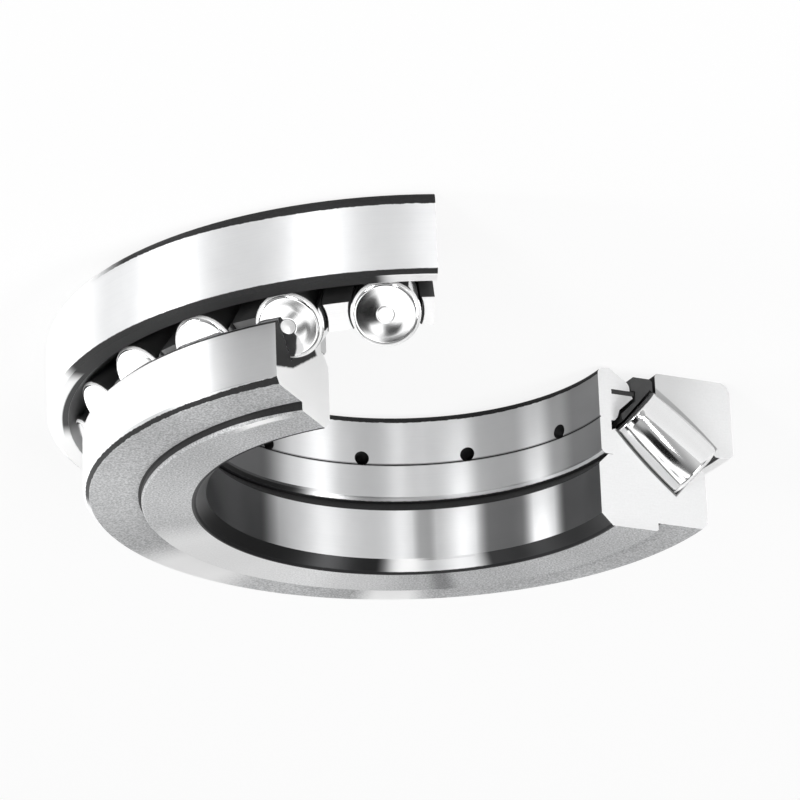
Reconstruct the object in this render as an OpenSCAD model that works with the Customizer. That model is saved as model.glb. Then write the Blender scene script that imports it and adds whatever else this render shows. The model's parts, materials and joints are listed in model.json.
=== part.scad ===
// Spherical roller thrust bearing, cut open to show how it works.
// The bearing axis is the Z axis and the shaft washer is on top. Each section is drawn
// with the housing washer's back face at height 0, then lowered so that the origin
// comes to the middle of the shaft washer's bore. Angles are measured from +X.

/* [Boundary dimensions] */
// Outside diameter of the housing washer
outer_d = 210; // [209:0.5:214]
// Bore of the shaft washer
bore_d = 120; // [117:0.5:121]
// Height over the two back faces
height = 50; // [49.5:0.5:53]

/* [Cutaway] */
// Angle where the housing washer and the cage begin
housing_start = -94.5; // [-97:0.5:-93]
// Angle where the shaft washer and its sleeve begin
shaft_start = -67.5; // [-75:0.5:-60]
// Angle where every ring ends
cut_end = 154; // [154:1:156]

/* [Housing washer] */
// Bore of the housing washer
housing_bore = 160; // [159.5:0.1:161]
// Height of the housing washer
housing_h = 24.2; // [23.6:0.1:24.8]
// Radius of the rounded corner at its back face
back_corner_r = 3.6; // [2:0.1:4]

/* [Shaft washer] */
// Diameter of the guide flange
flange_d = 190; // [189:0.2:191]
// Diameter of the raised back face round the bore
back_face_d = 157; // [150:1:165]
// How far the flange is set back from that face
back_step = 2.5; // [1:0.1:3]
// Height of the underside of the guide flange
flange_z = 28.8; // [28.4:0.1:29.4]
// Chamfer at the mouth of the bore
bore_chamfer = 3.5; // [1:0.1:4]

/* [Rollers] */
// Rollers in the full bearing
roller_count = 21; // [21:1:22]
// Largest diameter of the barrel
roller_d = 19.4; // [19:0.1:19.6]
// Length over the end faces
roller_len = 26; // [25.4:0.1:26.1]
// Slope of the roller axis above the back face
roller_slope = 41; // [40.5:0.1:41.5]
// Radius of the barrel outline
barrel_r = 138; // [136:1:142]
// How far the largest diameter lies past mid length, towards the flange
barrel_shift = 7.5; // [6.5:0.1:8]
// Distance of the roller's middle from the bearing axis
roller_mid_r = 81.7; // [81.5:0.1:81.9]
// Height of the roller's middle
roller_mid_z = 21.9; // [21.8:0.1:22]

/* [Cage] */
// Diameter of the cage at its small end
cage_d = 158; // [157.4:0.1:158.4]
// Play of a roller in its pocket, all round
pocket_play = 0.3; // [0.2:0.05:0.4]
// Thickness of the wall behind the small ends of the rollers
cage_wall = 1.7; // [1.5:0.1:1.8]

/* [Guide sleeve] */
// Bore of the sleeve
sleeve_bore = 122; // [121:0.2:123]
// Outside diameter of its tube, which is pressed into the shaft washer
sleeve_d = 129.4; // [129:0.1:129.8]
// Diameter of the rounded collar at its free end
collar_d = 142.6; // [141.6:0.2:143]
// Diameter of the drilled oil holes
oil_hole_d = 4.4; // [3.6:0.2:5]
// Oil holes in the full sleeve
oil_hole_count = 12; // [6:1:16]
// Height of the row of oil holes
oil_hole_z = 14.2; // [14:0.1:14.6]

/* [Hidden] */
$fn = 180;

// Radial lines and arcs of the section, in the plane through the axis: [radius, height]
outer_r = outer_d / 2;
bore_r = bore_d / 2;
flange_r = flange_d / 2;
back_face_r = back_face_d / 2;
sleeve_r = sleeve_d / 2;
sleeve_bore_r = sleeve_bore / 2;
collar_r = collar_d / 2;
cage_r = cage_d / 2;

// Unit vectors along the roller axis and square to it, towards the shaft washer
along = [cos(roller_slope), sin(roller_slope)];
across = [-sin(roller_slope), cos(roller_slope)];
roller_mid = [roller_mid_r, roller_mid_z];
barrel_centre = roller_mid + barrel_shift * along;
barrel_drop = barrel_r - roller_d / 2;
half_len = roller_len / 2;

// The raceways are a little flatter than the barrel, with a small running gap
osculation = 1.037;
race_gap = 0.15;
race_r = barrel_r * osculation;

// The housing raceway is part of a sphere centred on the bearing axis
housing_arc = barrel_centre + barrel_drop * across;
sphere_lean = asin(housing_arc[0] / (race_r - barrel_r));
sphere_z = housing_arc[1] + (race_r - barrel_r) * cos(sphere_lean);
sphere_r = race_r + race_gap;

// The shaft raceway is a hollow arc that meets the barrel on the other side,
// a little below the largest diameter
contact_below = 0.5;
contact_lean = roller_slope + asin((barrel_shift - contact_below) / barrel_r);
shaft_arc = barrel_centre - barrel_drop * across
            + (race_r - barrel_r) * [sin(contact_lean), -cos(contact_lean)];
shaft_arc_r = race_r + race_gap;

// The guide flange is part of a sphere round the point where the roller axes meet
apex_z = roller_mid_z - roller_mid_r * tan(roller_slope);
guide_gap = 0.2;
guide_r = roller_mid_r / cos(roller_slope) + half_len + guide_gap;
end_ball_r = 105;

// Joint between the sleeve and the shaft washer
seat_z = 27.7;
seat_gap = 0.1;
washer_foot_z = 19.4;
notch_r = sleeve_r - 1.5;
bore_foot_z = seat_z + notch_r - bore_r;
origin_z = (bore_foot_z + height - bore_chamfer) / 2;

// Slot in the collar, and the ring that sits in it
slot_z = 7;
slot_h = 1.5;
slot_floor_r = sleeve_r + 0.5;
ring_play = 0.1;
ring_rim_r = collar_r + 1.3;

// The cage stops short of both ends of the rollers
pocket_floor = -half_len - 0.4;
cage_top = half_len - 3.4;

// Rollers left in the cutaway
kept_rollers = 15;

// Names roller_1 to roller_15
function roller_name(i) = str("roller_", i);

// Points of a rounded corner of radius r about c, from angle a to angle b
function arc(c, r, a, b, steps = 8) =
    [for (i = [0:steps]) c + r * [cos(a + (b - a) * i / steps), sin(a + (b - a) * i / steps)]];

// Point of the section given along and across the roller axis, from the roller's middle
function by_roller(u, v) = roller_mid + u * along + v * across;

// Angle of roller i round the bearing: the first one stands in the cut at cut_end
function roller_angle(i) = cut_end - (i - 1) * 360 / roller_count;

// Lowers a finished piece to the origin
module placed() {
    translate([0, 0, -origin_z])
        children();
}

// Sweeps a section round the axis, from one cut to the other
module ring_sector(start) {
    rotate([0, 0, start])
        rotate_extrude(angle = cut_end - start)
            children();
}

// Puts children, built along +Z, on the axis of roller i
module on_roller(i) {
    rotate([0, 0, roller_angle(i)])
        translate([roller_mid_r, 0, roller_mid_z])
            rotate([0, 90 - roller_slope, 0])
                children();
}

// Section of the housing washer before its raceway is cut
module housing_blank() {
    bore = housing_bore / 2;
    bore_edge = 0.8;
    edge = 1.4;
    polygon(concat(
        [[bore, bore_edge], [bore + bore_edge, 0]],
        arc([outer_r - back_corner_r, back_corner_r], back_corner_r, -90, 0),
        [[outer_r, housing_h - edge], [outer_r - edge, housing_h], [bore, housing_h]]
    ));
}

module housing_section() {
    difference() {
        housing_blank();
        translate([0, sphere_z])
            circle(r = sphere_r, $fn = 720);
    }
}

module housing_washer() {
    color("gainsboro")
        ring_sector(housing_start)
            housing_section();
}

// Section of the shaft washer before the rollers' track is cut
module shaft_blank() {
    back_edge = 1.8;
    flange_edge = 1.2;
    face_edge = 0.5;
    step_z = height - back_step;
    foot_edge = [1.2, 0.6];
    polygon([
        [bore_r, bore_foot_z],
        [bore_r, height - bore_chamfer],
        [bore_r + bore_chamfer, height],
        [back_face_r - face_edge, height],
        [back_face_r, height - face_edge],
        [back_face_r, step_z],
        [flange_r - back_edge, step_z],
        [flange_r, step_z - back_edge],
        [flange_r, flange_z + flange_edge],
        [flange_r - flange_edge, flange_z],
        [roller_mid_r, flange_z],
        [sleeve_r + foot_edge[0], washer_foot_z],
        [sleeve_r, washer_foot_z + foot_edge[1]],
        [sleeve_r, seat_z],
        [notch_r, seat_z]
    ]);
}

// The raceway and the guide flange in one cut
module shaft_section() {
    difference() {
        shaft_blank();
        intersection() {
            translate(shaft_arc)
                circle(r = shaft_arc_r, $fn = 720);
            translate([0, apex_z])
                circle(r = guide_r, $fn = 720);
        }
    }
}

module shaft_washer() {
    color("silver")
        ring_sector(shaft_start)
            shaft_section();
}

// Section of the sleeve: pressed tube, slotted collar and the lip that guards the small ends
module sleeve_section() {
    end_z = 0.5;
    end_edge = 0.3;
    mouth_r = 2;
    seat_edge = 1.2;
    collar_nose = 2.9;
    nose_land = 0.6;
    lip_edge = 0.6;
    lip_knee = [sleeve_r + 2.9, 13.3];
    lip_foot_z = 16.9;
    lip_foot_r = sleeve_r + 2.1;
    lip_chamfer = [1, 1.2];
    line_z = 16.15;
    line_w = 0.35;
    line_depth = 0.4;
    top = slot_z + slot_h;
    seat = seat_z - seat_gap;
    polygon(concat(
        arc([sleeve_bore_r + mouth_r, end_z + mouth_r], mouth_r, 180, 270),
        [[sleeve_r + end_edge, end_z]],
        arc([collar_r - collar_nose, slot_z - nose_land], collar_nose, -55, 0, 6),
        [
            [collar_r, slot_z],
            [slot_floor_r, slot_z],
            [slot_floor_r, top],
            [collar_r + lip_edge, top],
            [collar_r + 1.5 * lip_edge, top + lip_edge],
            lip_knee,
            [lip_foot_r, lip_foot_z - lip_chamfer[1]],
            [lip_foot_r - lip_chamfer[0], lip_foot_z],
            [sleeve_r, lip_foot_z],
            [sleeve_r, seat],
            [sleeve_bore_r + seat_edge, seat],
            [sleeve_bore_r, seat - seat_edge],
            [sleeve_bore_r, line_z + line_w],
            [sleeve_bore_r + line_depth, line_z],
            [sleeve_bore_r, line_z - line_w]
        ]
    ));
}

module guide_sleeve() {
    pitch = 360 / oil_hole_count;
    drill = [sleeve_bore_r - 3, 12];
    color("lightgray")
        difference() {
            ring_sector(shaft_start)
                sleeve_section();
            for (k = [0:oil_hole_count - 1])
                rotate([0, 0, pitch / 2 + k * pitch])
                    translate([drill[0], 0, oil_hole_z])
                        rotate([0, 90, 0])
                            cylinder(d = oil_hole_d, h = drill[1], $fn = 48);
        }
}

// Flat spring ring in the slot, which keeps the cage on the sleeve
module retaining_ring() {
    color("dimgray")
        ring_sector(shaft_start)
            translate([slot_floor_r + ring_play, slot_z + ring_play])
                square([ring_rim_r - slot_floor_r - ring_play, slot_h - 2 * ring_play]);
}

// Section of the cage: a ring between collar and housing, and a cone that runs up with the rollers
module cage_section() {
    wall_u = pocket_floor - cage_wall;
    outer_v = -3.4;
    inner_v = 4.4;
    cone_edge = 1.2;
    ring_floor = 2.2;
    ring_top = 9.1;
    bore = collar_r + 0.6;
    groove_r = ring_rim_r + 0.55;
    groove_z = slot_z - 0.35;
    groove_top = slot_z + slot_h + 1.2;
    edge = 0.8;
    polygon([
        [bore, ring_floor + edge],
        [bore + edge, ring_floor],
        [cage_r - edge, ring_floor],
        [cage_r, ring_floor + edge],
        [cage_r, ring_top],
        by_roller(cage_top, outer_v),
        by_roller(cage_top, inner_v),
        by_roller(wall_u + cone_edge, inner_v),
        by_roller(wall_u, inner_v - cone_edge),
        [groove_r, groove_top],
        [groove_r, groove_z],
        [bore, groove_z]
    ]);
}

// Round pocket along a roller's axis, open towards the flange and flared at its mouth
module pocket(i) {
    pocket_r = roller_d / 2 + pocket_play;
    flare = 0.7;
    flare_h = 1.4;
    beyond = 2;
    on_roller(i) {
        translate([0, 0, pocket_floor])
            cylinder(r = pocket_r, h = 2 * roller_len, $fn = 96);
        translate([0, 0, cage_top - flare_h])
            cylinder(r1 = pocket_r, r2 = pocket_r + flare * beyond, h = flare_h * beyond, $fn = 96);
    }
}

module cage() {
    color("goldenrod")
        difference() {
            ring_sector(housing_start)
                cage_section();
            for (i = [1:kept_rollers])
                pocket(i);
        }
}

// Outline of half a roller: barrel side, rounded ends and a slightly domed, dimpled large end
module roller_outline() {
    small_edge = 1;
    large_edge = 1.7;
    small_r = roller_d / 2 - 1.25;
    large_r = roller_d / 2 + 0.05;
    large_drop = 0.2;
    dimple_r = 2.2;
    dimple_depth = 0.7;
    intersection() {
        translate([-barrel_drop, barrel_shift])
            circle(r = barrel_r, $fn = 720);
        translate([0, half_len - end_ball_r])
            circle(r = end_ball_r, $fn = 720);
        polygon(concat(
            [[0, -half_len]],
            arc([small_r - small_edge, -half_len + small_edge], small_edge, -90, 0, 6),
            arc([large_r - large_edge, half_len - large_drop - large_edge], large_edge, 0, 90, 6),
            [[dimple_r * 2, half_len + dimple_depth], [0, half_len - dimple_depth]]
        ));
    }
}

module roller(i) {
    color("white")
        on_roller(i)
            rotate_extrude()
                roller_outline();
}

placed() housing_washer();
placed() shaft_washer();
placed() guide_sleeve();
placed() retaining_ring();
placed() cage();
for (i = [1:kept_rollers])
    placed() roller(i);
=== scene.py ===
"""Finishes and studio for a cutaway spherical roller thrust bearing.

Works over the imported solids, in metres. The bearing axis is Z and the shaft washer is on top.
Inside the finishes, radii and heights are in millimetres, with heights counted from the housing
washer's back face, and places round the rings are in degrees from +X.
"""
import json
import math

import bmesh
import bpy
from mathutils import Matrix, Vector


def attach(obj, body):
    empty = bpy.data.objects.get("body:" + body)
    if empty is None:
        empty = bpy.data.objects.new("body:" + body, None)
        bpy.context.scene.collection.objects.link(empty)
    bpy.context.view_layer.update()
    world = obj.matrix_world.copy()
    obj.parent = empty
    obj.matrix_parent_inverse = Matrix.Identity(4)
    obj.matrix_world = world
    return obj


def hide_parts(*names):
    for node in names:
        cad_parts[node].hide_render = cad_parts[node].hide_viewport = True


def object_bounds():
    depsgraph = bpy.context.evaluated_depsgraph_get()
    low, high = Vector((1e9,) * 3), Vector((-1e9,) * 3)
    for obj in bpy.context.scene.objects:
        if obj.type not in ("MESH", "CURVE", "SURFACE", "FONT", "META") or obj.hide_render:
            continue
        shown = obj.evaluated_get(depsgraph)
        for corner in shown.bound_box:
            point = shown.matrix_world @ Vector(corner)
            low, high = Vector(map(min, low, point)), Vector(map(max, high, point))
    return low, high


bl_info = {
    "name": "Spherical roller thrust bearing",
    "version": (1, 0, 0),
    "blender": (4, 5, 0),
    "location": "3D View > Sidebar > Bearing",
    "description": "Finishes the washers, sleeve, cage and barrel rollers of a cutaway thrust bearing",
    "category": "Object",
}

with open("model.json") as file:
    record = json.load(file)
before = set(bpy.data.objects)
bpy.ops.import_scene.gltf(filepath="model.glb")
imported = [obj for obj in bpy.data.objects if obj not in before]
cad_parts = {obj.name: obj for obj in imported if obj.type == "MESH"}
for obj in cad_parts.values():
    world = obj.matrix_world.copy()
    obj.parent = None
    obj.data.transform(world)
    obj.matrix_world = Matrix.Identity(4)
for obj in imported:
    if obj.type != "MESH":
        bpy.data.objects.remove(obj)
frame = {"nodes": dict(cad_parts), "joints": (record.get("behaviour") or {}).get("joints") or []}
cad_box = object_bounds()
NODES = frame["nodes"]
JOINTS = {joint["name"]: joint for joint in frame["joints"]}
ROLLERS = [name for name in NODES if name.startswith("roller_")]
ROLLERS.sort(key=lambda name: int(name.split("_")[1]))
FIRST_ROLLER = JOINTS[f"{ROLLERS[0]}_spin"]

# Millimetres in a metre
MM = 1000
# Height of the frame's origin over the housing washer's back face, in millimetres
LIFT = -cad_box[0][2] * MM
# How far the edge of a mask spreads to either side, in millimetres
SOFT = 0.08

# The cuts through the rings, as angles round the bearing axis
CUT_END = math.radians(154)
HOUSING_START = math.radians(-94.5)
SHAFT_START = math.radians(-67.5)


class Wire:
    """An output socket that takes part in Python expressions and adds the Math nodes for them."""

    def __init__(self, finish, socket):
        self.finish = finish
        self.socket = socket

    def maths(self, operation, *values):
        """One Math node on the values, which the tree's other wires may be among."""
        return self.finish.add("ShaderNodeMath", {"operation": operation}, dict(enumerate(values)))

    def __add__(self, other):
        return self.maths("ADD", self, other)

    __radd__ = __add__

    def __sub__(self, other):
        return self.maths("SUBTRACT", self, other)

    def __rsub__(self, other):
        return self.maths("SUBTRACT", other, self)

    def __mul__(self, other):
        return self.maths("MULTIPLY", self, other)

    __rmul__ = __mul__

    def __truediv__(self, other):
        return self.maths("DIVIDE", self, other)

    def __pow__(self, other):
        return self.maths("POWER", self, other)

    def __abs__(self):
        return self.maths("ABSOLUTE", self)

    def more(self, other):
        """The larger of two values, which joins two masks."""
        return self.maths("MAXIMUM", self, other)

    def less(self, other):
        """The smaller of two values, which is where two masks overlap."""
        return self.maths("MINIMUM", self, other)

    def rise(self, low, high):
        """0 at low, 1 at high, and a smooth step between them; low may be the larger."""
        return self.finish.add(
            "ShaderNodeMapRange",
            {"interpolation_type": "SMOOTHSTEP"},
            {"Value": self, "From Min": low, "From Max": high},
        )

    def above(self, edge, soft=SOFT):
        """1 above an edge and 0 below it."""
        return self.rise(edge - soft, edge + soft)

    def below(self, edge, soft=SOFT):
        """1 below an edge and 0 above it."""
        return 1 - self.above(edge, soft)

    def between(self, low, high, soft=SOFT):
        """1 between two edges and 0 outside them."""
        return self.above(low, soft).less(self.below(high, soft))


class Finish:
    """One node tree, for a material or for the world."""

    def __init__(self, tree):
        self.tree = tree
        tree.nodes.clear()

    def add(self, kind, settings=None, inputs=None, out=0):
        """Adds a node: its settings first, then values or links for its sockets; gives the output."""
        node = self.tree.nodes.new(kind)
        for key, value in (settings or {}).items():
            if key == "stops":
                self.set_stops(node.color_ramp, value)
            else:
                setattr(node, key, value)
        for key, value in (inputs or {}).items():
            socket = node.inputs[key]
            if isinstance(value, Wire):
                self.tree.links.new(value.socket, socket)
            else:
                socket.default_value = value
        return Wire(self, node.outputs[out]) if node.outputs else node

    @staticmethod
    def set_stops(ramp, stops):
        """Fills a colour ramp with greys, each given by its place and its brightness."""
        while len(ramp.elements) < len(stops):
            ramp.elements.new(0.5)
        for element, (place, brightness) in zip(ramp.elements, stops):
            element.position = place
            element.color = grey(brightness)

    def split(self, vector):
        """The X, Y and Z of a vector."""
        x = self.add("ShaderNodeSeparateXYZ", None, {0: vector})
        return [Wire(self, out) for out in x.socket.node.outputs]

    def join(self, x, y, z):
        """The vector of three values."""
        return self.add("ShaderNodeCombineXYZ", None, {0: x, 1: y, 2: z})

    def angle(self, x, y):
        """Angle round Z from +X, in radians."""
        return x.maths("ARCTAN2", y, x)

    def mix(self, share, first, second):
        """Colour mix: first where share is 0, second where it is 1."""
        # The node has its colour sockets after those for numbers and vectors
        return self.add("ShaderNodeMix", {"data_type": "RGBA"}, {0: share, 6: first, 7: second}, 2)

    def noise(self, place, detail=3.0, scale=1.0):
        """Smooth noise from 0 to 1 at a place."""
        inputs = {"Vector": place, "Scale": scale, "Detail": detail, "Roughness": 0.55}
        return self.add("ShaderNodeTexNoise", None, inputs)

    def rays(self, kind):
        """1 for rays of one kind, such as Camera or Glossy."""
        return self.add("ShaderNodeLightPath", out=f"Is {kind} Ray")


class SteelFinish(Finish):
    """A steel surface, with places measured in millimetres in the bearing's own frame."""

    def __init__(self, name, lift=0.0):
        self.material = bpy.data.materials.new(name)
        self.material.use_nodes = True
        super().__init__(self.material.node_tree)
        x, y, z = self.split(self.add("ShaderNodeTexCoord", out="Object"))
        self.x = x * MM
        self.y = y * MM
        self.height = z * MM + lift
        self.radius = (self.x * self.x + self.y * self.y) ** 0.5
        self.turn = self.angle(self.x, self.y)
        self.normal = self.add("ShaderNodeTexCoord", out="Normal")

    def cut_face(self, angle, ahead):
        """Where the surface is the flat face of a cut; ahead is 1 if the ring lies before the angle."""
        across = (-math.sin(angle) * ahead, math.cos(angle) * ahead)
        nx, ny, _ = self.split(self.normal)
        facing = (nx * across[0] + ny * across[1]).above(CUT_FACING, 0.01)
        near = abs(self.x * across[0] + self.y * across[1]).below(CUT_REACH, 0.1)
        return facing.less(near)

    def sector(self, start, end, soft):
        """1 between two angles round the bearing axis; all three are in degrees."""
        return (self.turn * (180 / math.pi)).between(start, end, soft)

    def sectors(self, spans):
        """The sum of sectors, each with its start, end and softness in degrees and its share."""
        return sum(self.sector(start, end, soft) * share for start, end, soft, share in spans)

    def by_roller(self, size):
        """Distances along and across a roller's axis, from its middle, in the section through it."""
        out = self.radius - size.reach * MM
        up = self.height - LIFT - size.rise * MM
        c = math.cos(size.slope)
        s = math.sin(size.slope)
        return out * c + up * s, up * c - out * s

    def gap_shade_line(self, size):
        """The thin dark line on a cut face beside a barrel, painted shade in the gap, as long as the barrel
        and wider below it.
        """
        u, v = self.by_roller(size)
        crown = size.crown * MM
        along = u - size.shift * MM
        barrel = (crown * crown - along * along) ** 0.5 - (crown - size.width * MM / 2)
        lower = v.below(0.0) * (LOWER_LINE_EXTRA - u * LOWER_LINE_TAPER)
        beside = (abs(v) - barrel - lower).below(LINE_WIDTH, 0.2)
        return beside.less(abs(u).below(size.length * MM / 2 + LINE_OVERHANG, 0.3))

    def lathe_lines(self, pitch):
        """Fine lines that run round the bearing axis, as grinding and turning leave them."""
        place = self.join(self.turn * 2.2, self.radius / pitch, self.height / pitch)
        return self.noise(place, 2.0)

    def blotches(self, size):
        """Patches of about one size, in millimetres."""
        return self.noise(self.join(self.x / size, self.y / size, self.height / size), 4.0)

    def ragged(self):
        """A wander of up to a quarter of a millimetre, for the edges of what isn't ground clean."""
        return (self.blotches(RAGGED_SIZE) - 0.5) * 0.5

    def close(self, colour, rough, relief, metal=1.0, depth=0.00004, strength=0.35, brushed=0.0):
        """Ends the tree in one Principled shader; depth is the relief's, in metres."""
        normal = self.add("ShaderNodeBump", None, {"Strength": strength, "Distance": depth, "Height": relief})
        inputs = {"Base Color": colour, "Roughness": rough, "Metallic": metal, "Normal": normal}
        inputs["Specular IOR Level"] = GLOSS
        if brushed:
            inputs["Anisotropic"] = brushed
            inputs["Anisotropic Rotation"] = BRUSH_TURN
        shader = self.add("ShaderNodeBsdfPrincipled", None, inputs)
        self.add("ShaderNodeOutputMaterial", None, {"Surface": shader})
        return self.material


def grey(value):
    """A neutral colour with alpha."""
    return (value, value, value, 1)


def plain(colour):
    """A property's colour with alpha."""
    return (*colour, 1)


# Sizes of the steel's marks, in millimetres
GRINDING_PITCH = 0.16
TURNING_PITCH = 0.3
BLOTCH_SIZE = 9
GRAIN_SIZE = 0.55
RAGGED_SIZE = 1.6
SAW_MARK_LENGTH = 3
SAW_PITCH = 0.22
# A cut face has normals within about ten degrees of the cut's own, and lies this near to the cut
CUT_FACING = 0.985
CUT_REACH = 0.3
# The painted shade line in the gap beside a barrel: its width, how far it runs past the barrel's ends, how
# much wider it is below the barrel, and how much less so for each millimetre towards the large end
LINE_WIDTH = 0.75
LINE_OVERHANG = 0.3
LOWER_LINE_EXTRA = 2.45
LOWER_LINE_TAPER = 0.04
# Roughness of the steels
SHAFT_ROUGHNESS = 0.36
GROUND_ROUGHNESS = 0.38
CUT_ROUGHNESS = 0.5
BLACK_ROUGHNESS = 0.62
# Specular level of what isn't metallic
GLOSS = 0.25
# How strongly the washers and the sleeve are brushed, and the brush's direction as part of a turn
BRUSHED = 0.9
BRUSH_TURN = 0.25
# Brightness of the burnt-out stretches, painted highlights where light washes the steel out, and how much
# less metallic they are
GLARE_WHITE = 0.97
GLARE_MATT = 0.6
# Brightness of other tones that no setting holds: saw marks, the grain of the painted shade, shade painted on
# cut faces and painted glare
SAWN_DARK = 0.66
SHADE_GRAIN = 0.03
SHADED_CUT_TONE = 0.45
GLARE_TONE = 0.95


def wear(f, look, cut, dark, face=0.0, roughness=GROUND_ROUGHNESS):
    """Ground steel with bright saw-cut faces and black painted shade on its corners, hollows and gaps.

    cut, dark and face are masks; dark is where shade is painted, and face is where the steel is fine-grained.
    Gives the colour, the roughness, the relief and how metallic the surface is.
    """
    lines = f.lathe_lines(GRINDING_PITCH)
    blotch = f.blotches(BLOTCH_SIZE)
    grain = f.blotches(GRAIN_SIZE)
    saw = f.noise(f.join(f.radius / SAW_MARK_LENGTH, f.height / SAW_PITCH, f.turn))
    polish = (lines - 0.5) * 0.5 + (blotch - 0.5) * 0.6 + 0.5
    tone = f.mix(polish, plain(look.ground_dark), plain(look.ground_light))
    tone = f.mix(face, tone, f.mix(grain.rise(0.3, 0.7), plain(look.face_dark), plain(look.face_light)))
    tone = f.mix(cut, tone, f.mix(saw * 0.5 + grain * 0.5, grey(SAWN_DARK), plain(look.cut_steel)))
    # The dark masks are painted shade, in the shade black
    tone = f.mix(dark, tone, f.mix(grain, plain(look.shade_black), grey(SHADE_GRAIN)))
    rough = roughness + (lines - 0.5) * 0.08 + (blotch - 0.5) * 0.06 + face * 0.16
    rough = rough * (1 - cut) + cut * (CUT_ROUGHNESS + (saw - 0.5) * 0.2)
    rough = rough * (1 - dark) + dark * BLACK_ROUGHNESS
    relief = (lines * 0.6 + grain * 0.4) * (1 - cut) + saw * cut
    return tone, rough, relief, (1 - dark) * (1 - cut * 0.6) * (1 - face * 0.5)


class BearingFinish(bpy.types.PropertyGroup):
    """Colours of the steels."""

    ground_dark: bpy.props.FloatVectorProperty(
        name="Ground steel, dark",
        description="Darker tone of the ground steel",
        subtype="COLOR",
        default=(0.76, 0.765, 0.775),
        min=0,
        max=1,
    )
    ground_light: bpy.props.FloatVectorProperty(
        name="Ground steel, light",
        description="Lighter tone of the ground steel",
        subtype="COLOR",
        default=(0.9, 0.905, 0.91),
        min=0,
        max=1,
    )
    face_dark: bpy.props.FloatVectorProperty(
        name="Back face, dark",
        description="Darker grain of the shaft washer's back face",
        subtype="COLOR",
        default=(0.3, 0.303, 0.308),
        min=0,
        max=1,
    )
    face_light: bpy.props.FloatVectorProperty(
        name="Back face, light",
        description="Lighter grain of the shaft washer's back face",
        subtype="COLOR",
        default=(0.62, 0.625, 0.632),
        min=0,
        max=1,
    )
    cut_steel: bpy.props.FloatVectorProperty(
        name="Cut face",
        description="Tone of the sawn faces of the cutaway",
        subtype="COLOR",
        default=(0.82, 0.825, 0.83),
        min=0,
        max=1,
    )
    # Painted shade: the black put on corners, hollows, gaps and dark mirrored stretches where shade falls
    shade_black: bpy.props.FloatVectorProperty(
        name="Black corners",
        description="Scale left on corners that are not ground",
        subtype="COLOR",
        default=(0.01, 0.01, 0.011),
        min=0,
        max=1,
    )
    # The cage's dark tone is painted shade, for the shade inside the bearing
    cage_shade: bpy.props.FloatVectorProperty(
        name="Cage",
        description="Darkened steel of the cage",
        subtype="COLOR",
        default=(0.05, 0.051, 0.052),
        min=0,
        max=1,
    )
    roller_steel: bpy.props.FloatVectorProperty(
        name="Rollers",
        description="Polished steel of the rollers",
        subtype="COLOR",
        default=(0.97, 0.975, 0.98),
        min=0,
        max=1,
    )


class BearingRoller(bpy.types.PropertyGroup):
    """Sizes of a barrel roller and its place."""

    width: bpy.props.FloatProperty(
        name="Diameter",
        description="Largest diameter of the barrel",
        unit="LENGTH",
        default=0.0194,
        min=0.001,
    )
    length: bpy.props.FloatProperty(
        name="Length",
        description="Length over the end faces",
        unit="LENGTH",
        default=0.026,
        min=0.001,
    )
    crown: bpy.props.FloatProperty(
        name="Crown radius",
        description="Radius of the barrel outline",
        unit="LENGTH",
        default=0.138,
        min=0.01,
    )
    shift: bpy.props.FloatProperty(
        name="Crown shift",
        description="How far the largest diameter lies past mid length",
        unit="LENGTH",
        default=0.0075,
    )
    slope: bpy.props.FloatProperty(
        name="Slope",
        description="Slope of the roller axis above the back face",
        subtype="ANGLE",
        default=math.asin(FIRST_ROLLER["axis"][2]),
    )
    reach: bpy.props.FloatProperty(
        name="Distance",
        description="Distance of the roller's middle from the bearing axis",
        unit="LENGTH",
        default=math.hypot(*FIRST_ROLLER["pos_m"][:2]),
    )
    rise: bpy.props.FloatProperty(
        name="Height",
        description="Height of the roller's middle over the origin",
        unit="LENGTH",
        default=FIRST_ROLLER["pos_m"][2],
    )


class BearingStudio(bpy.types.PropertyGroup):
    """Light and camera."""

    camera_distance: bpy.props.FloatProperty(
        name="Camera distance",
        description="From the middle of the shaft washer's back face",
        unit="LENGTH",
        default=1.4433,
        min=0.1,
    )
    camera_pitch: bpy.props.FloatProperty(
        name="Camera pitch",
        description="Height of the camera over the back face, as an angle",
        subtype="ANGLE",
        default=math.radians(20.456),
    )
    camera_yaw: bpy.props.FloatProperty(
        name="Camera yaw", description="Aim to the side", subtype="ANGLE", default=math.radians(0.14)
    )
    camera_tip: bpy.props.FloatProperty(
        name="Camera tip", description="Aim up or down", subtype="ANGLE", default=math.radians(-1.134)
    )
    camera_roll: bpy.props.FloatProperty(
        name="Camera roll",
        description="Turn round the line of sight",
        subtype="ANGLE",
        default=math.radians(2.17),
    )
    lens: bpy.props.FloatProperty(
        name="Lens", description="Focal length on a 36 mm sensor", unit="CAMERA", default=227.08, min=1
    )
    lamp_distance: bpy.props.FloatProperty(
        name="Lamp distance",
        description="From the bearing to each strip lamp",
        unit="LENGTH",
        default=1.6,
        min=0.1,
    )
    lamps: bpy.props.FloatProperty(
        name="Lamps", description="Share of the full power of every strip lamp", default=1.0, min=0
    )
    sky: bpy.props.FloatProperty(
        name="Sky", description="Strength of the studio's walls and ceiling", default=0.95, min=0
    )
    ceiling: bpy.props.FloatProperty(
        name="Ceiling", description="Brightness of the ceiling", default=0.2, min=0
    )


def paint(name, material):
    """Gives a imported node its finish."""
    slots = NODES[name].data.materials
    slots.clear()
    slots.append(material)


# Where the painted shade on both washers' corners is wider: start, end and softness in degrees, and by how
# much
WIDE_CORNERS = (-62, 14, 12)
WIDER_CORNER = 0.8
WIDER_BACK_EDGE = 0.75

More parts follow.
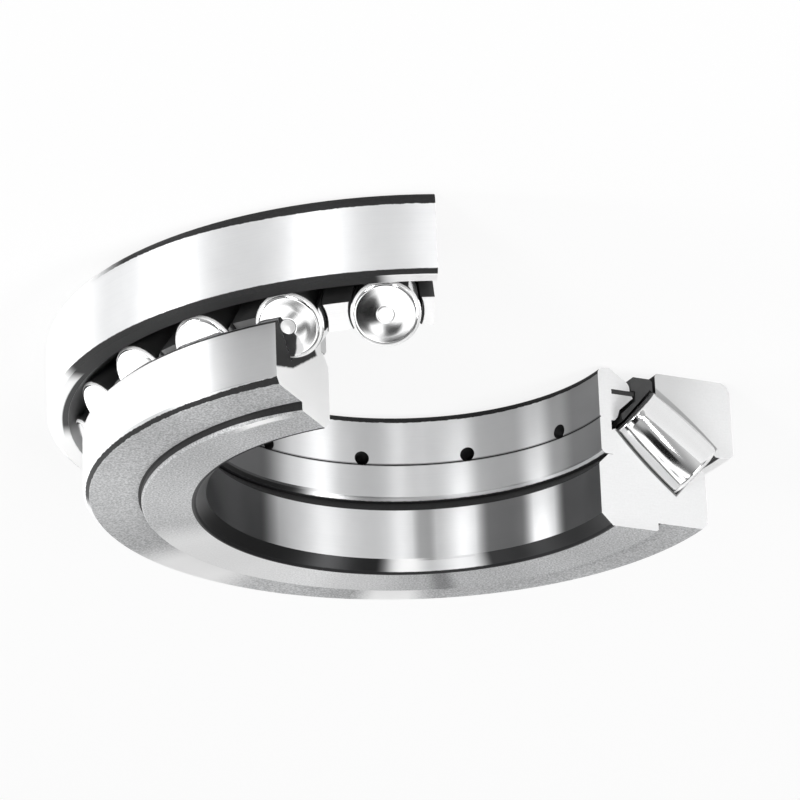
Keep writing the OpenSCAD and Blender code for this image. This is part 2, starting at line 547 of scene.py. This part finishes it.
# The housing washer's section, where its finish changes
BACK_CORNER_RADIUS = 101.6
BACK_CORNER_HEIGHT = 3.9
TOP_EDGE_RADIUS = 103.55
TOP_EDGE_HEIGHT = 22.9
WALL_RADIUS = 103
HOUSING_BORE_RADIUS = 81
RACE_RADIUS = 99.3
RACE_FOOT = 8.2
RIM_HEIGHT = 24.1
LIT_BAND_RADIUS = 100.8
END_BAND_RADIUS = 100.4
# Its sectors, start, end and softness in degrees: where the corners' painted shade is left off, and where the
# top face, raceway and wall get painted highlights
LIT_BACK_CORNER = (-37, 14, 5)
LIT_TOP_EDGE = (-22, 14, 4)
LIT_WALL = (-33, 30, 5)
LIT_RACE = (2, 30, 4)
LIT_RIM_START = (-96, -87, 2)
LIT_RIM_BAND = (-22, 30, 3)
LIT_RIM_END = (110, 156, 3)
# How the saw-cut faces darken towards the bore: the radii between which they do, and by how much
SHADED_CUT = (104, 82)
SHADED_CUT_SHARE = 0.55


class BEARING_OT_housing_washer(bpy.types.Operator):
    """Ground housing washer, with painted shade on its corners, bore, raceway and top face, and painted
    highlights on its top face and wall
    """

    bl_idname = "bearing.housing_washer"
    bl_label = "Finish the housing washer"

    def execute(self, context):
        f = SteelFinish("housing_steel", LIFT)
        right_cut = f.cut_face(CUT_END, 1)
        cut = right_cut.more(f.cut_face(HOUSING_START, -1))
        # Painted highlights on the top face where it is lit
        lit_rim = self.lit_rim(f)
        # Painted shade on the corners, bore, raceway and top face
        dark = self.shade_parts(f) * (1 - cut) * (1 - lit_rim)
        # A painted shade line in the gap beside the roller
        dark = dark.more(right_cut.less(f.gap_shade_line(context.scene.bearing_roller)) * 0.6)
        tone, rough, relief, metal = wear(f, context.scene.bearing_finish, cut, dark)
        tone = f.mix(cut * f.radius.rise(*SHADED_CUT) * SHADED_CUT_SHARE, tone, grey(SHADED_CUT_TONE))
        # Painted highlights: the lit top face and a burnt-out stretch of the wall
        white = lit_rim.more(f.sector(*LIT_WALL).less(f.radius.above(WALL_RADIUS)) * (1 - dark))
        tone = f.mix(white, tone, grey(GLARE_WHITE))
        metal = metal * (1 - white * GLARE_MATT)
        paint("housing_washer", f.close(tone, rough, relief, metal, brushed=BRUSHED))
        return {"FINISHED"}

    @staticmethod
    def shade_parts(f):
        """Painted shade: the corners, the bore, the raceway painted dark as its polish would mirror the dark
        inside, and the top face as the flange's shadow.
        """
        ragged = f.ragged()
        corner_height = BACK_CORNER_HEIGHT - f.sector(*WIDE_CORNERS) * WIDER_CORNER
        corner = (f.radius + ragged).above(BACK_CORNER_RADIUS).less((f.height + ragged).below(corner_height))
        corner = corner * (1 - f.sector(*LIT_BACK_CORNER))
        edge = (f.radius + ragged * 0.4).above(TOP_EDGE_RADIUS)
        edge = edge.less((f.height + ragged * 0.4).above(TOP_EDGE_HEIGHT))
        edge = edge * (1 - f.sector(*LIT_TOP_EDGE))
        rim = f.height.above(RIM_HEIGHT, 0.05)
        race = f.radius.below(RACE_RADIUS).less(f.height.above(RACE_FOOT)).less(1 - rim)
        race = race * (0.95 - f.sector(*LIT_RACE) * 0.55)
        return corner.more(edge).more(f.radius.below(HOUSING_BORE_RADIUS)).more(race).more(rim)

    @staticmethod
    def lit_rim(f):
        """The top face's painted highlights, where it is lit beside the flange and at the cuts."""
        ends = f.sector(*LIT_RIM_END).less(f.radius.above(END_BAND_RADIUS, 0.3))
        ends = ends.more(f.sector(*LIT_RIM_START))
        band = f.sector(*LIT_RIM_BAND).less(f.radius.above(LIT_BAND_RADIUS, 0.3))
        return f.height.above(RIM_HEIGHT, 0.05).less(ends.more(band).more(f.sector(*LIT_RACE)))


# The shaft washer's section, where its finish changes
BORE_RADIUS = 60.4
CHAMFER_RADIUS = 63.6
CHAMFER_FOOT = 46.4
MOUTH_RADIUS = 64.2
MOUTH_HEIGHT = 49.8
MOUTH_WIDTH = 0.35
NOTCH_RADIUS = 65
NOTCH_HEIGHT = 31.1
FLANGE_RADIUS = 94.9
FLANGE_FOOT_RADIUS = 93.9
FLANGE_FOOT_HEIGHT = 30
GUIDE_RADII = (88, 94)
GUIDE_HEIGHT = 43
BACK_EDGE_RADIUS = 93.3
BACK_EDGE_HEIGHT = 45.6
STEP_RADIUS = 78.5
STEP_FOOT = 47.2
STEP_TOP = 49.9
STEP_WIDTH = 0.9
FACE_RADIUS = 63.5
FACE_HEIGHT = 47.3
INNER_FACE_RADIUS = 78
INNER_EDGE_RADIUS = 75.5
OUTER_FACE_RADIUS = 80
# Its sectors, start, end and softness in degrees: where the back edge's painted shade is left off, painted
# highlights, a painted dark reflection on the flange and a painted shade streak on the face
LIT_BACK_EDGE = (1, 40, 4)
LIT_FLANGE = (-51, 30, 3)
LIT_CHAMFER = (83, 91, 3)
FLANGE_DARK_REFLECTION = (-68, -54, 2)
EDGE_GLARE = (-62, -52, 4)
FACE_SHADE_STREAK = (93, 98, 2)
# The same with a share as the last value
BORE_DARK_REFLECTIONS = ((-12, 45, 5, 0.9), (89, 95, 2, 0.45), (108, 124, 3, 0.75), (134, 156, 3, 0.87))
CHAMFER_DARK_REFLECTIONS = ((-70, 81, 3, 0.95), (108, 156, 3, 0.95))
INNER_GLARE = ((16, 54, 8, 0.8), (54, 84, 8, 0.4))
OUTER_GLARE = ((30, 52, 6, 1), (79, 90, 3, 1))
# Share of the painted dark reflection that the whole bore has
BORE_DARK_REFLECTION_SHARE = 0.15
# The roller's shadow, painted black on the left cut face, has three straight edges. Two are placed
# from the roller's middle, across and along its axis, and the third by height over the back face.
SHADOW_TOP = 14.4
SHADOW_TOP_SLOPE = 0.19
SHADOW_END = -5.5
SHADOW_ROOF = 15.2
SHADOW_ROOF_SLOPE = 0.29


class BEARING_OT_shaft_washer(bpy.types.Operator):
    """Ground shaft washer: polished bore with painted dark reflections, fine-grained back faces with painted
    highlights, and corners darkened as painted shade
    """

    bl_idname = "bearing.shaft_washer"
    bl_label = "Finish the shaft washer"

    def execute(self, context):
        look = context.scene.bearing_finish
        roller = context.scene.bearing_roller
        black = plain(look.shade_black)
        f = SteelFinish("shaft_steel", LIFT)
        ragged = f.ragged()
        left_cut = f.cut_face(SHAFT_START, -1)
        cut = f.cut_face(CUT_END, 1).more(left_cut)
        # A painted shade line at the bore's mouth
        mouth = abs(f.height - MOUTH_HEIGHT + ragged * 0.3).below(MOUTH_WIDTH)
        mouth = mouth.less(f.radius.below(MOUTH_RADIUS))
        dark = self.shade_corners(f, ragged).more(mouth) * (1 - cut)
        # The roller's shadow painted on the left cut face, and a painted shade line in the gap
        painted_shadow = self.painted_shadow(f, ragged, roller).less(left_cut)
        dark = dark.more(painted_shadow).more(cut.less(f.gap_shade_line(roller)) * (1 - left_cut) * 0.85)
        cut = cut * (1 - painted_shadow)
        chamfer = f.height.above(CHAMFER_FOOT).less(f.radius.below(CHAMFER_RADIUS))
        flange = f.radius.above(FLANGE_RADIUS) * (1 - dark)
        face = f.height.above(FACE_HEIGHT).less(f.radius.above(FACE_RADIUS)) * (1 - dark)
        tone, rough, relief, metal = wear(f, look, cut, dark, face, SHAFT_ROUGHNESS)
        # Painted dark reflections on the bore, its chamfer and the flange
        tone = f.mix(self.shade_and_reflections(f, chamfer, flange) * (1 - cut), tone, black)
        # Painted highlights on the back faces
        tone = f.mix(face * self.glare(f), tone, grey(GLARE_TONE))
        # A painted shade streak on the inner back face
        streak = f.sector(*FACE_SHADE_STREAK).less(f.radius.below(INNER_FACE_RADIUS))
        tone = f.mix(face * streak * 0.5, tone, black)
        # Painted highlights on the flange, the chamfer and the left cut face
        white = f.sector(*LIT_FLANGE).less(flange).more(left_cut * (1 - dark))
        white = white.more(chamfer.less(f.sector(*LIT_CHAMFER)) * (1 - mouth))
        tone = f.mix(white, tone, grey(GLARE_WHITE))
        metal = metal * (1 - white * GLARE_MATT)
        paint("shaft_washer", f.close(tone, rough, relief, metal, brushed=BRUSHED))
        return {"FINISHED"}

    @staticmethod
    def shade_corners(f, ragged):
        """Painted shade on the flange's two edges, the back face's step, the notch over the sleeve and the
        guide face.
        """
        wide = f.sector(*WIDE_CORNERS)
        edge = (f.radius + ragged).above(BACK_EDGE_RADIUS)
        edge = edge.less((f.height + ragged).above(BACK_EDGE_HEIGHT + wide * WIDER_BACK_EDGE))
        edge = edge * (1 - f.sector(*LIT_BACK_EDGE))
        foot = (f.radius + ragged * 0.4).above(FLANGE_FOOT_RADIUS).less(f.height.below(FLANGE_FOOT_HEIGHT))
        step = abs(f.radius - STEP_RADIUS + ragged * 0.6).below(STEP_WIDTH)
        step = step.less(f.height.below(STEP_TOP - wide * WIDER_CORNER)).less(f.height.above(STEP_FOOT))
        notch = f.radius.below(NOTCH_RADIUS).less(f.height.below(NOTCH_HEIGHT))
        guide = f.radius.between(*GUIDE_RADII).less(f.height.below(GUIDE_HEIGHT))
        return edge.more(foot).more(step).more(notch).more(guide * 0.6)

    @staticmethod
    def painted_shadow(f, ragged, roller):
        """The roller's shadow, painted black on the left cut face next to it."""
        u, v = f.by_roller(roller)
        painted_shadow = (v + ragged + u * SHADOW_TOP_SLOPE).below(SHADOW_TOP, 0.4).less(u.above(SHADOW_END, 0.8))
        return painted_shadow.less((f.height + ragged - f.radius * SHADOW_ROOF_SLOPE).below(SHADOW_ROOF, 0.4))

    @staticmethod
    def shade_and_reflections(f, chamfer, flange):
        """Painted dark reflections on the bore, its chamfer and the flange, as the polish would mirror the
        dark room.
        """
        bore = f.radius.below(BORE_RADIUS).less(f.sectors(BORE_DARK_REFLECTIONS).more(BORE_DARK_REFLECTION_SHARE))
        shade_and_reflections = bore.more(chamfer.less(f.sectors(CHAMFER_DARK_REFLECTIONS)))
        return shade_and_reflections.more(f.sector(*FLANGE_DARK_REFLECTION).less(flange) * 0.3)

    @staticmethod
    def glare(f):
        """Painted highlights on the two back faces."""
        inner = f.radius.below(INNER_FACE_RADIUS)
        glare = f.sectors(INNER_GLARE) * inner
        glare = glare.more(f.sectors(OUTER_GLARE) * f.radius.above(OUTER_FACE_RADIUS))
        return glare.more(f.sector(*EDGE_GLARE).less(inner).less(f.radius.above(INNER_EDGE_RADIUS, 0.6)))


# The guide sleeve's section, where its finish changes
SLEEVE_BORE_RADIUS = 61.3
SLEEVE_MOUTH_RADIUS = 64.5
SLEEVE_MOUTH_HEIGHT = 2.6
TURNED_LINE_RADIUS = 61.6
TURNED_LINE_HEIGHT = 16.15
TURNED_LINE_WIDTH = 0.42
SLEEVE_FOOT = 27.4
SHADED_FOOT_HEIGHT = 25.6
OIL_HOLE_RADII = (61.15, 70)
OIL_HOLE_HEIGHTS = (11.5, 16.6)
SLOT_RADIUS = 65
SLOT_HEIGHTS = (6.9, 8.6)
# Its painted dark reflections: start, end and softness in degrees, and the share
SLEEVE_DARK_REFLECTIONS = (
    (-12, 48, 6, 0.8),
    (66, 90, 3, 0.25),
    (106, 122, 3, 0.32),
    (130, 156, 3, 0.45),
    (138, 156, 3, 0.22),
)
# The painted shade on its foot: start, end and softness in degrees
SHADED_FOOT_SECTOR = (-12, 58, 5)


class BEARING_OT_guide_sleeve(bpy.types.Operator):
    """Turned guide sleeve with painted shade at its mouth and painted dark reflections in its bore, and the
    flat ring in its slot
    """

    bl_idname = "bearing.guide_sleeve"
    bl_label = "Finish the guide sleeve"

    def execute(self, context):
        look = context.scene.bearing_finish
        f = SteelFinish("sleeve_steel", LIFT)
        cut = f.cut_face(CUT_END, 1).more(f.cut_face(SHAFT_START, -1))
        dark = self.shade_parts(f) * (1 - cut)
        tone, rough, relief, metal = wear(f, look, cut, dark)
        # Painted dark reflections in the bore and painted shade on the foot
        shade_and_reflections = f.radius.below(SLEEVE_BORE_RADIUS).less(f.sectors(SLEEVE_DARK_REFLECTIONS))
        foot = f.height.above(SHADED_FOOT_HEIGHT).less(f.sector(*SHADED_FOOT_SECTOR))
        shade_and_reflections = shade_and_reflections.more(foot * 0.9)
        tone = f.mix(shade_and_reflections * (1 - cut), tone, plain(look.shade_black))
        paint("guide_sleeve", f.close(tone, rough, relief, metal, brushed=BRUSHED))
        paint("retaining_ring", self.spring_steel())
        return {"FINISHED"}

    @staticmethod
    def shade_parts(f):
        """Painted shade on the mouth, the line turned in the bore, the foot, the oil holes and the ring's
        slot.
        """
        ragged = f.ragged()
        mouth = (f.height + ragged).below(SLEEVE_MOUTH_HEIGHT).less(f.radius.below(SLEEVE_MOUTH_RADIUS))
        line = abs(f.height - TURNED_LINE_HEIGHT).below(TURNED_LINE_WIDTH, 0.1)
        line = line.less(f.radius.below(TURNED_LINE_RADIUS))
        foot = (f.height + ragged * 0.5).above(SLEEVE_FOOT)
        holes = f.radius.between(*OIL_HOLE_RADII).less(f.height.between(*OIL_HOLE_HEIGHTS))
        slot = f.radius.above(SLOT_RADIUS).less(f.height.between(*SLOT_HEIGHTS, 0.02))
        return mouth.more(line * 0.5).more(foot).more(holes).more(slot)

    @staticmethod
    def spring_steel():
        """Dark grey steel for the retaining ring."""
        f = SteelFinish("spring_steel_dark", LIFT)
        grain = f.blotches(0.5)
        return f.close(f.mix(grain, grey(0.03), grey(0.08)), 0.4 + grain * 0.2, grain, 0.7)


# Where the bright ends of the cage's bars begin, in millimetres past the rollers' mid length
BAR_END = 9.48
# Angle up to which the bars stand clear of the shaft washer, and how bright they are under it, where they are
# painted in its shade
CLEAR_BARS_END = SHAFT_START - 0.05
SHADED_BAR_SHINE = 0.12


class BEARING_OT_cage(bpy.types.Operator):
    """Machined cage, painted dark as the shade inside the bearing but for the bright ends of its bars, which
    are painted in shade under the shaft washer
    """

    bl_idname = "bearing.cage"
    bl_label = "Finish the cage"

    def execute(self, context):
        f = SteelFinish("cage_steel_dark", LIFT)
        lines = f.lathe_lines(TURNING_PITCH)
        blotch = f.blotches(4)
        along, _ = f.by_roller(context.scene.bearing_roller)
        # The bar ends are bright where they stand clear of the shaft washer and painted in shade under it
        clear = f.turn.below(CLEAR_BARS_END, 0.03)
        end = along.above(BAR_END, 0.05).less(clear.more(SHADED_BAR_SHINE))
        # The cage's dark tone is painted shade
        black = f.mix(blotch, plain(context.scene.bearing_finish.cage_shade), grey(0.1))
        tone = f.mix(end, black, f.mix(lines, grey(0.88), grey(GLARE_WHITE)))
        rough = 0.5 + (blotch - 0.5) * 0.2 - end * 0.12
        paint("cage", f.close(tone, rough, lines, 0.35))
        return {"FINISHED"}


# The barrel roller's outline, in metres. Its small end has a smaller radius than the barrel and a
# rounded rim.
SMALL_END_INSET = 0.00125
SMALL_RIM = 0.001
SMALL_FACE_RADII = (0.0, 0.002, 0.0045)
# The barrel's own curve stays this far from the two ends
SIDE_FROM_SMALL = 0.0016
SIDE_FROM_LARGE = 0.002
# The large end's rounded rim stands back from the end and reaches this far past the largest radius,
# or as far as the barrel does there
LARGE_RIM = 0.0017
LARGE_RIM_SET_BACK = 0.0002
LARGE_RIM_OUT = 0.00005
# The large end is part of a ball, with a dimple given by radius and depth
BALL_FACE = 0.105
BALL_FACE_RADII = (0.0065, 0.005, 0.0038, 0.0026, 0.0022)
DIMPLE = ((0.002, 0.00008), (0.0012, 0.00034), (0.0005, 0.00058), (0.0, 0.0007))
# Points along the barrel's side and round the roller
SIDE_STEPS = 24
BARREL_STEPS = 160


def arc(middle, radius, start, end, steps):
    """Points (radius, height) on an arc about a middle, from one angle to another in degrees."""
    angles = [math.radians(start + (end - start) * i / steps) for i in range(steps + 1)]
    return [(middle[0] + radius * math.cos(a), middle[1] + radius * math.sin(a)) for a in angles]


def roller_outline(size):
    """Half a roller, from the middle of its small end to the middle of the large end's dimple."""
    half = size.length / 2
    small = size.width / 2 - SMALL_END_INSET
    rim_height = half - LARGE_RIM_SET_BACK - LARGE_RIM

    def barrel(z):
        return math.sqrt(size.crown**2 - (z - size.shift) ** 2) - size.crown + size.width / 2

    large = min(size.width / 2 + LARGE_RIM_OUT, barrel(rim_height))
    side = size.length - SIDE_FROM_SMALL - SIDE_FROM_LARGE
    heights = [-half + SIDE_FROM_SMALL + side * i / SIDE_STEPS for i in range(SIDE_STEPS + 1)]
    points = [(r, -half) for r in SMALL_FACE_RADII]
    points += arc((small - SMALL_RIM, -half + SMALL_RIM), SMALL_RIM, -90, -4, 8)
    points += [(barrel(z), z) for z in heights]
    points += arc((large - LARGE_RIM, rim_height), LARGE_RIM, 4, 90, 10)
    points += [(r, half - BALL_FACE + math.sqrt(BALL_FACE**2 - r**2)) for r in BALL_FACE_RADII]
    points += [(r, half - depth) for r, depth in DIMPLE]
    return points


def lathe(name, points, steps):
    """A closed mesh that spins points round the object's own Z axis."""
    mesh = bpy.data.meshes.new(name)
    bm = bmesh.new()
    turns = [2 * math.pi * k / steps for k in range(steps)]
    rings = []
    for r, z in points:
        if r:
            rings.append([bm.verts.new((r * math.cos(t), r * math.sin(t), z)) for t in turns])
        else:
            rings.append([bm.verts.new((0, 0, z))])
    for low, high in zip(rings, rings[1:]):
        for k in range(steps):
            j = (k + 1) % steps
            corners = [low[k % len(low)], low[j % len(low)], high[j % len(high)], high[k % len(high)]]
            face = bm.faces.new(list(dict.fromkeys(corners)))
            face.smooth = True
    bm.normal_update()
    bm.to_mesh(mesh)
    bm.free()
    return mesh


# The roller's finish, in millimetres: radii and depths from the ends where it changes, to a painted highlight
# on the large rim and dimple and painted shade on the small rim
LARGE_RIM_RADIUS = 8.85
LARGE_RIM_DEPTH = 1.2
SMALL_RIM_RADIUS = 7.4
SMALL_RIM_DEPTH = 0.5
DIMPLE_RADIUS = 2.1
END_DEPTH = 1.4


def roller_finish(look, size):
    """Polished barrel, a small rim painted dark as shade, a large rim and dimple painted pale as a washed-out
    highlight, and ends with concentric grinding.
    """
    f = SteelFinish("roller_steel_polished")
    half = size.length * MM / 2
    edge = (f.blotches(1.2) - 0.5) * 0.3
    out = f.radius + edge
    up = f.height + edge
    # The large rim and the dimple are painted pale, a washed-out highlight
    washed_out = out.above(LARGE_RIM_RADIUS, 0.12).less(up.above(half - LARGE_RIM_DEPTH, 0.12))
    washed_out = washed_out.more(f.radius.below(DIMPLE_RADIUS, 0.1).less(f.height.above(half - 1)))
    # The small rim is painted dark as shade
    dark = out.above(SMALL_RIM_RADIUS, 0.12).less(up.below(SMALL_RIM_DEPTH - half, 0.12))
    rounds = f.noise(f.join(f.turn * 1.2, f.radius / 0.09, f.height / 0.12), 2.0)
    streak = f.noise(f.join(f.turn * 5, 0.0, f.height / 60), 1.0)
    tone = f.mix(rounds * 0.4 + streak * 0.5, grey(0.86), plain(look.roller_steel))
    tone = f.mix(dark, f.mix(washed_out, tone, grey(GLARE_WHITE)), grey(0.05))
    ends = abs(f.height).above(half - END_DEPTH)
    rough = 0.1 - ends * 0.02 + (rounds - 0.5) * 0.03 + dark.more(washed_out) * 0.3
    metal = (1 - dark * 0.7) * (1 - washed_out * 0.7)
    return f.close(tone, rough, rounds * ends, metal, depth=0.000003, strength=0.15)


class BEARING_OT_rollers(bpy.types.Operator):
    """Barrel rollers, each set on its own axis so that its grinding runs round it"""

    bl_idname = "bearing.rollers"
    bl_label = "Make the rollers"

    def execute(self, context):
        size = context.scene.bearing_roller
        mesh = lathe("barrel_roller", roller_outline(size), BARREL_STEPS)
        mesh.materials.append(roller_finish(context.scene.bearing_finish, size))
        for name in ROLLERS:
            joint = JOINTS[f"{name}_spin"]
            piece = bpy.data.objects.new(f"barrel_{name}", mesh)
            context.scene.collection.objects.link(piece)
            upright = Vector((0, 0, 1)).rotation_difference(Vector(joint["axis"]))
            piece.matrix_world = Matrix.Translation(joint["pos_m"]) @ upright.to_matrix().to_4x4()
            context.view_layer.update()
            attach(piece, joint["child"])
            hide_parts(name)
        return {"FINISHED"}


# Half the floor's width, in metres, and how white it is to the camera and in mirrored views
FLOOR_SPAN = 6.0
FLOOR_SEEN = 0.86
FLOOR_MIRRORED = 0.6
# Brightness of the studio's walls round the horizon, from +X through +Y, as part of a turn
SKY_WALLS = (
    (0.0, 1.6),
    (0.05, 2.1),
    (0.18, 2.1),
    (0.25, 1.4),
    (0.3, 1.2),
    (0.34, 0.12),
    (0.53, 0.12),
    (0.57, 0.6),
    (0.66, 0.7),
    (0.7, 0.4),
    (0.75, 0.35),
    (0.8, 0.8),
    (0.86, 0.35),
    (0.93, 0.5),
    (0.97, 1.3),
)
# Height over the horizon where the walls pass into the ceiling, as part of the way to the zenith
CEILING_RISE = (0.3, 0.6)
# Cards and flags in the sky: azimuth, elevation, half width, half height, tilt and brightness
CARDS = (
    (-60, 60, 23, 14, 0, 1.5),
    (-42, 45, 13, 5, 0, 1.5),
    (0, 38, 9, 6, 0, 1.6),
    (90, 62, 30, 24, 0, 0.8),
    (-76, 36, 11, 6, -34, 0.0),
    (-11, 49, 2.5, 6, 0, 0.0),
    (-69, 57, 4.2, 4.4, 0, 0.0),
    (-87, 66.5, 5.2, 4, 0, 0.05),
    (-92, 56, 1.2, 2.4, 0, 0.0),
    (-40, 55, 3.4, 1.2, -4, 0.05),
    (-38.5, 50.4, 2.3, 0.9, -4, 0.1),
)
# Strip lamps: azimuth, elevation, width, height and watts
LAMPS = (
    (214, 34, 0.35, 0.9, 11),
    (-99, 14, 0.1, 0.45, 3.2),
    (-64, 16, 0.26, 0.55, 6.5),
    (-16, 14, 0.33, 0.55, 9),
)


def direction(azimuth, elevation):
    """Unit vector from the bearing to a point of the sky, given in degrees."""
    turn = math.radians(azimuth)
    rise = math.radians(elevation)
    return Vector((math.cos(rise) * math.cos(turn), math.cos(rise) * math.sin(turn), math.sin(rise)))


def card(f, way, azimuth, elevation, wide, high, tilt):
    """1 inside a rectangle of the sky, given by its middle and half its width and height in degrees."""
    ahead = direction(azimuth, elevation)
    side = ahead.cross(Vector((0, 0, 1))).normalized()
    up = side.cross(ahead)
    c = math.cos(math.radians(tilt))
    s = math.sin(math.radians(tilt))

    def along(axis):
        return f.add("ShaderNodeVectorMath", {"operation": "DOT_PRODUCT"}, {0: way, 1: tuple(axis)}, "Value")

    inside = abs(along(side * c + up * s)).below(math.sin(math.radians(wide)), 0.01)
    inside = inside * abs(along(up * c - side * s)).below(math.sin(math.radians(high)), 0.01)
    return inside * along(ahead).above(0.0)


class BEARING_OT_studio(bpy.types.Operator):
    """Pale floor, soft studio light and the camera at the photograph's angle"""

    bl_idname = "bearing.studio"
    bl_label = "Set up the studio"

    def execute(self, context):
        studio = context.scene.bearing_studio
        self.floor(context)
        self.sky(context, studio)
        for number, strip in enumerate(LAMPS, 1):
            self.lamp(context, f"strip_{number}", studio, *strip)
        self.camera(context, studio)
        context.scene.view_settings.view_transform = "Standard"
        return {"FINISHED"}

    @staticmethod
    def floor(context):
        """A wide floor that the camera and the mirrors see nearly white, with the object's shadow on it."""
        mesh = bpy.data.meshes.new("floor")
        low = cad_box[0][2]
        corners = ((-1, -1), (1, -1), (1, 1), (-1, 1))
        mesh.from_pydata([(x * FLOOR_SPAN, y * FLOOR_SPAN, low) for x, y in corners], [], [(0, 1, 2, 3)])
        floor = bpy.data.objects.new("floor", mesh)
        context.scene.collection.objects.link(floor)
        material = bpy.data.materials.new("pale_floor")
        material.use_nodes = True
        f = Finish(material.node_tree)
        seen = (f.rays("Camera") * FLOOR_SEEN).more(f.rays("Glossy") * FLOOR_MIRRORED)
        place = f.add("ShaderNodeTexCoord", out="Object")
        tint = f.mix(f.noise(place, scale=3.0), grey(0.78), grey(0.82))
        matt = f.add("ShaderNodeBsdfDiffuse", None, {"Color": tint, "Roughness": 0.5})
        glow = f.add("ShaderNodeEmission", None, {"Color": grey(1.0), "Strength": 1.0})
        surface = f.add("ShaderNodeMixShader", None, {0: seen, 1: matt, 2: glow})
        f.add("ShaderNodeOutputMaterial", None, {"Surface": surface})
        mesh.materials.append(material)

    @staticmethod
    def sky(context, studio):
        """Walls, ceiling and cards that the steel mirrors, and a white background for the camera."""
        world = bpy.data.worlds.new("studio")
        world.use_nodes = True
        context.scene.world = world
        f = Finish(world.node_tree)
        way = f.add("ShaderNodeTexCoord", out="Generated")
        x, y, z = f.split(way)
        turn = f.angle(x, y) / (2 * math.pi) + 1
        walls = f.add("ShaderNodeValToRGB", {"stops": SKY_WALLS}, {0: turn.maths("FRACT", turn)})
        light = f.split(f.mix(z.rise(*CEILING_RISE), walls, grey(studio.ceiling)))[0]
        for *place, brightness in CARDS:
            light = light + card(f, way, *place) * (brightness - light)
        seen = f.rays("Camera")
        strength = light * studio.sky * (1 - seen) + seen
        background = f.add("ShaderNodeBackground", None, {"Color": grey(1.0), "Strength": strength})
        f.add("ShaderNodeOutputWorld", None, {"Surface": background})

    @staticmethod
    def lamp(context, name, studio, azimuth, elevation, width, height, watts):
        """A strip lamp in the sky that faces the bearing."""
        data = bpy.data.lights.new(name, "AREA")
        data.shape = "RECTANGLE"
        data.size = width
        data.size_y = height
        data.energy = watts * studio.lamps
        lamp = bpy.data.objects.new(name, data)
        context.scene.collection.objects.link(lamp)
        ahead = direction(azimuth, elevation)
        lamp.location = ahead * studio.lamp_distance
        lamp.rotation_mode = "QUATERNION"
        lamp.rotation_quaternion = (-ahead).to_track_quat("-Z", "Y")

    @staticmethod
    def camera(context, studio):
        """The photograph looks at the bearing upside down, so the camera is turned over."""
        c = math.cos(studio.camera_pitch)
        s = math.sin(studio.camera_pitch)
        level = Matrix(((1, 0, 0), (0, s, c), (0, c, -s)))
        yaw = Matrix.Rotation(-studio.camera_yaw, 3, "Y")
        tip = Matrix.Rotation(studio.camera_tip, 3, "X")
        roll = Matrix.Rotation(studio.camera_roll, 3, "Z")
        right, up, ahead = roll @ tip @ yaw @ level
        data = bpy.data.cameras.new("camera")
        data.sensor_width = 36
        data.lens = studio.lens
        data.clip_start = 0.01
        data.clip_end = 30
        camera = bpy.data.objects.new("camera", data)
        context.scene.collection.objects.link(camera)
        turned = Matrix((-right, -up, -ahead)).transposed().to_4x4()
        back_face = Vector((0, 0, cad_box[1][2]))
        away = Vector((0, -c, s)) * studio.camera_distance
        camera.matrix_world = Matrix.Translation(back_face + away) @ turned
        context.scene.camera = camera


SETTINGS = (
    ("bearing_finish", BearingFinish),
    ("bearing_roller", BearingRoller),
    ("bearing_studio", BearingStudio),
)
MAKERS = (
    BEARING_OT_housing_washer,
    BEARING_OT_shaft_washer,
    BEARING_OT_guide_sleeve,
    BEARING_OT_cage,
    BEARING_OT_rollers,
    BEARING_OT_studio,
)


class BEARING_PT_sidebar(bpy.types.Panel):
    """Lists the pieces and their settings"""

    bl_label = "Thrust bearing"
    bl_idname = "BEARING_PT_sidebar"
    bl_space_type = "VIEW_3D"
    bl_region_type = "UI"
    bl_category = "Bearing"

    def draw(self, context):
        for maker in MAKERS:
            self.layout.operator(maker.bl_idname)
        for name, group in SETTINGS:
            box = self.layout.box()
            for field in group.__annotations__:
                box.prop(getattr(context.scene, name), field)


def register():
    for kind in (*(group for _, group in SETTINGS), *MAKERS, BEARING_PT_sidebar):
        bpy.utils.register_class(kind)
    for name, group in SETTINGS:
        setattr(bpy.types.Scene, name, bpy.props.PointerProperty(type=group))


def unregister():
    for name, _ in SETTINGS:
        delattr(bpy.types.Scene, name)
    for kind in (BEARING_PT_sidebar, *reversed(MAKERS), *(group for _, group in SETTINGS)):
        bpy.utils.unregister_class(kind)


def main():
    register()
    for maker in MAKERS:
        area, action = maker.bl_idname.split(".")
        getattr(getattr(bpy.ops, area), action)()


if __name__ == "__main__":
    main()
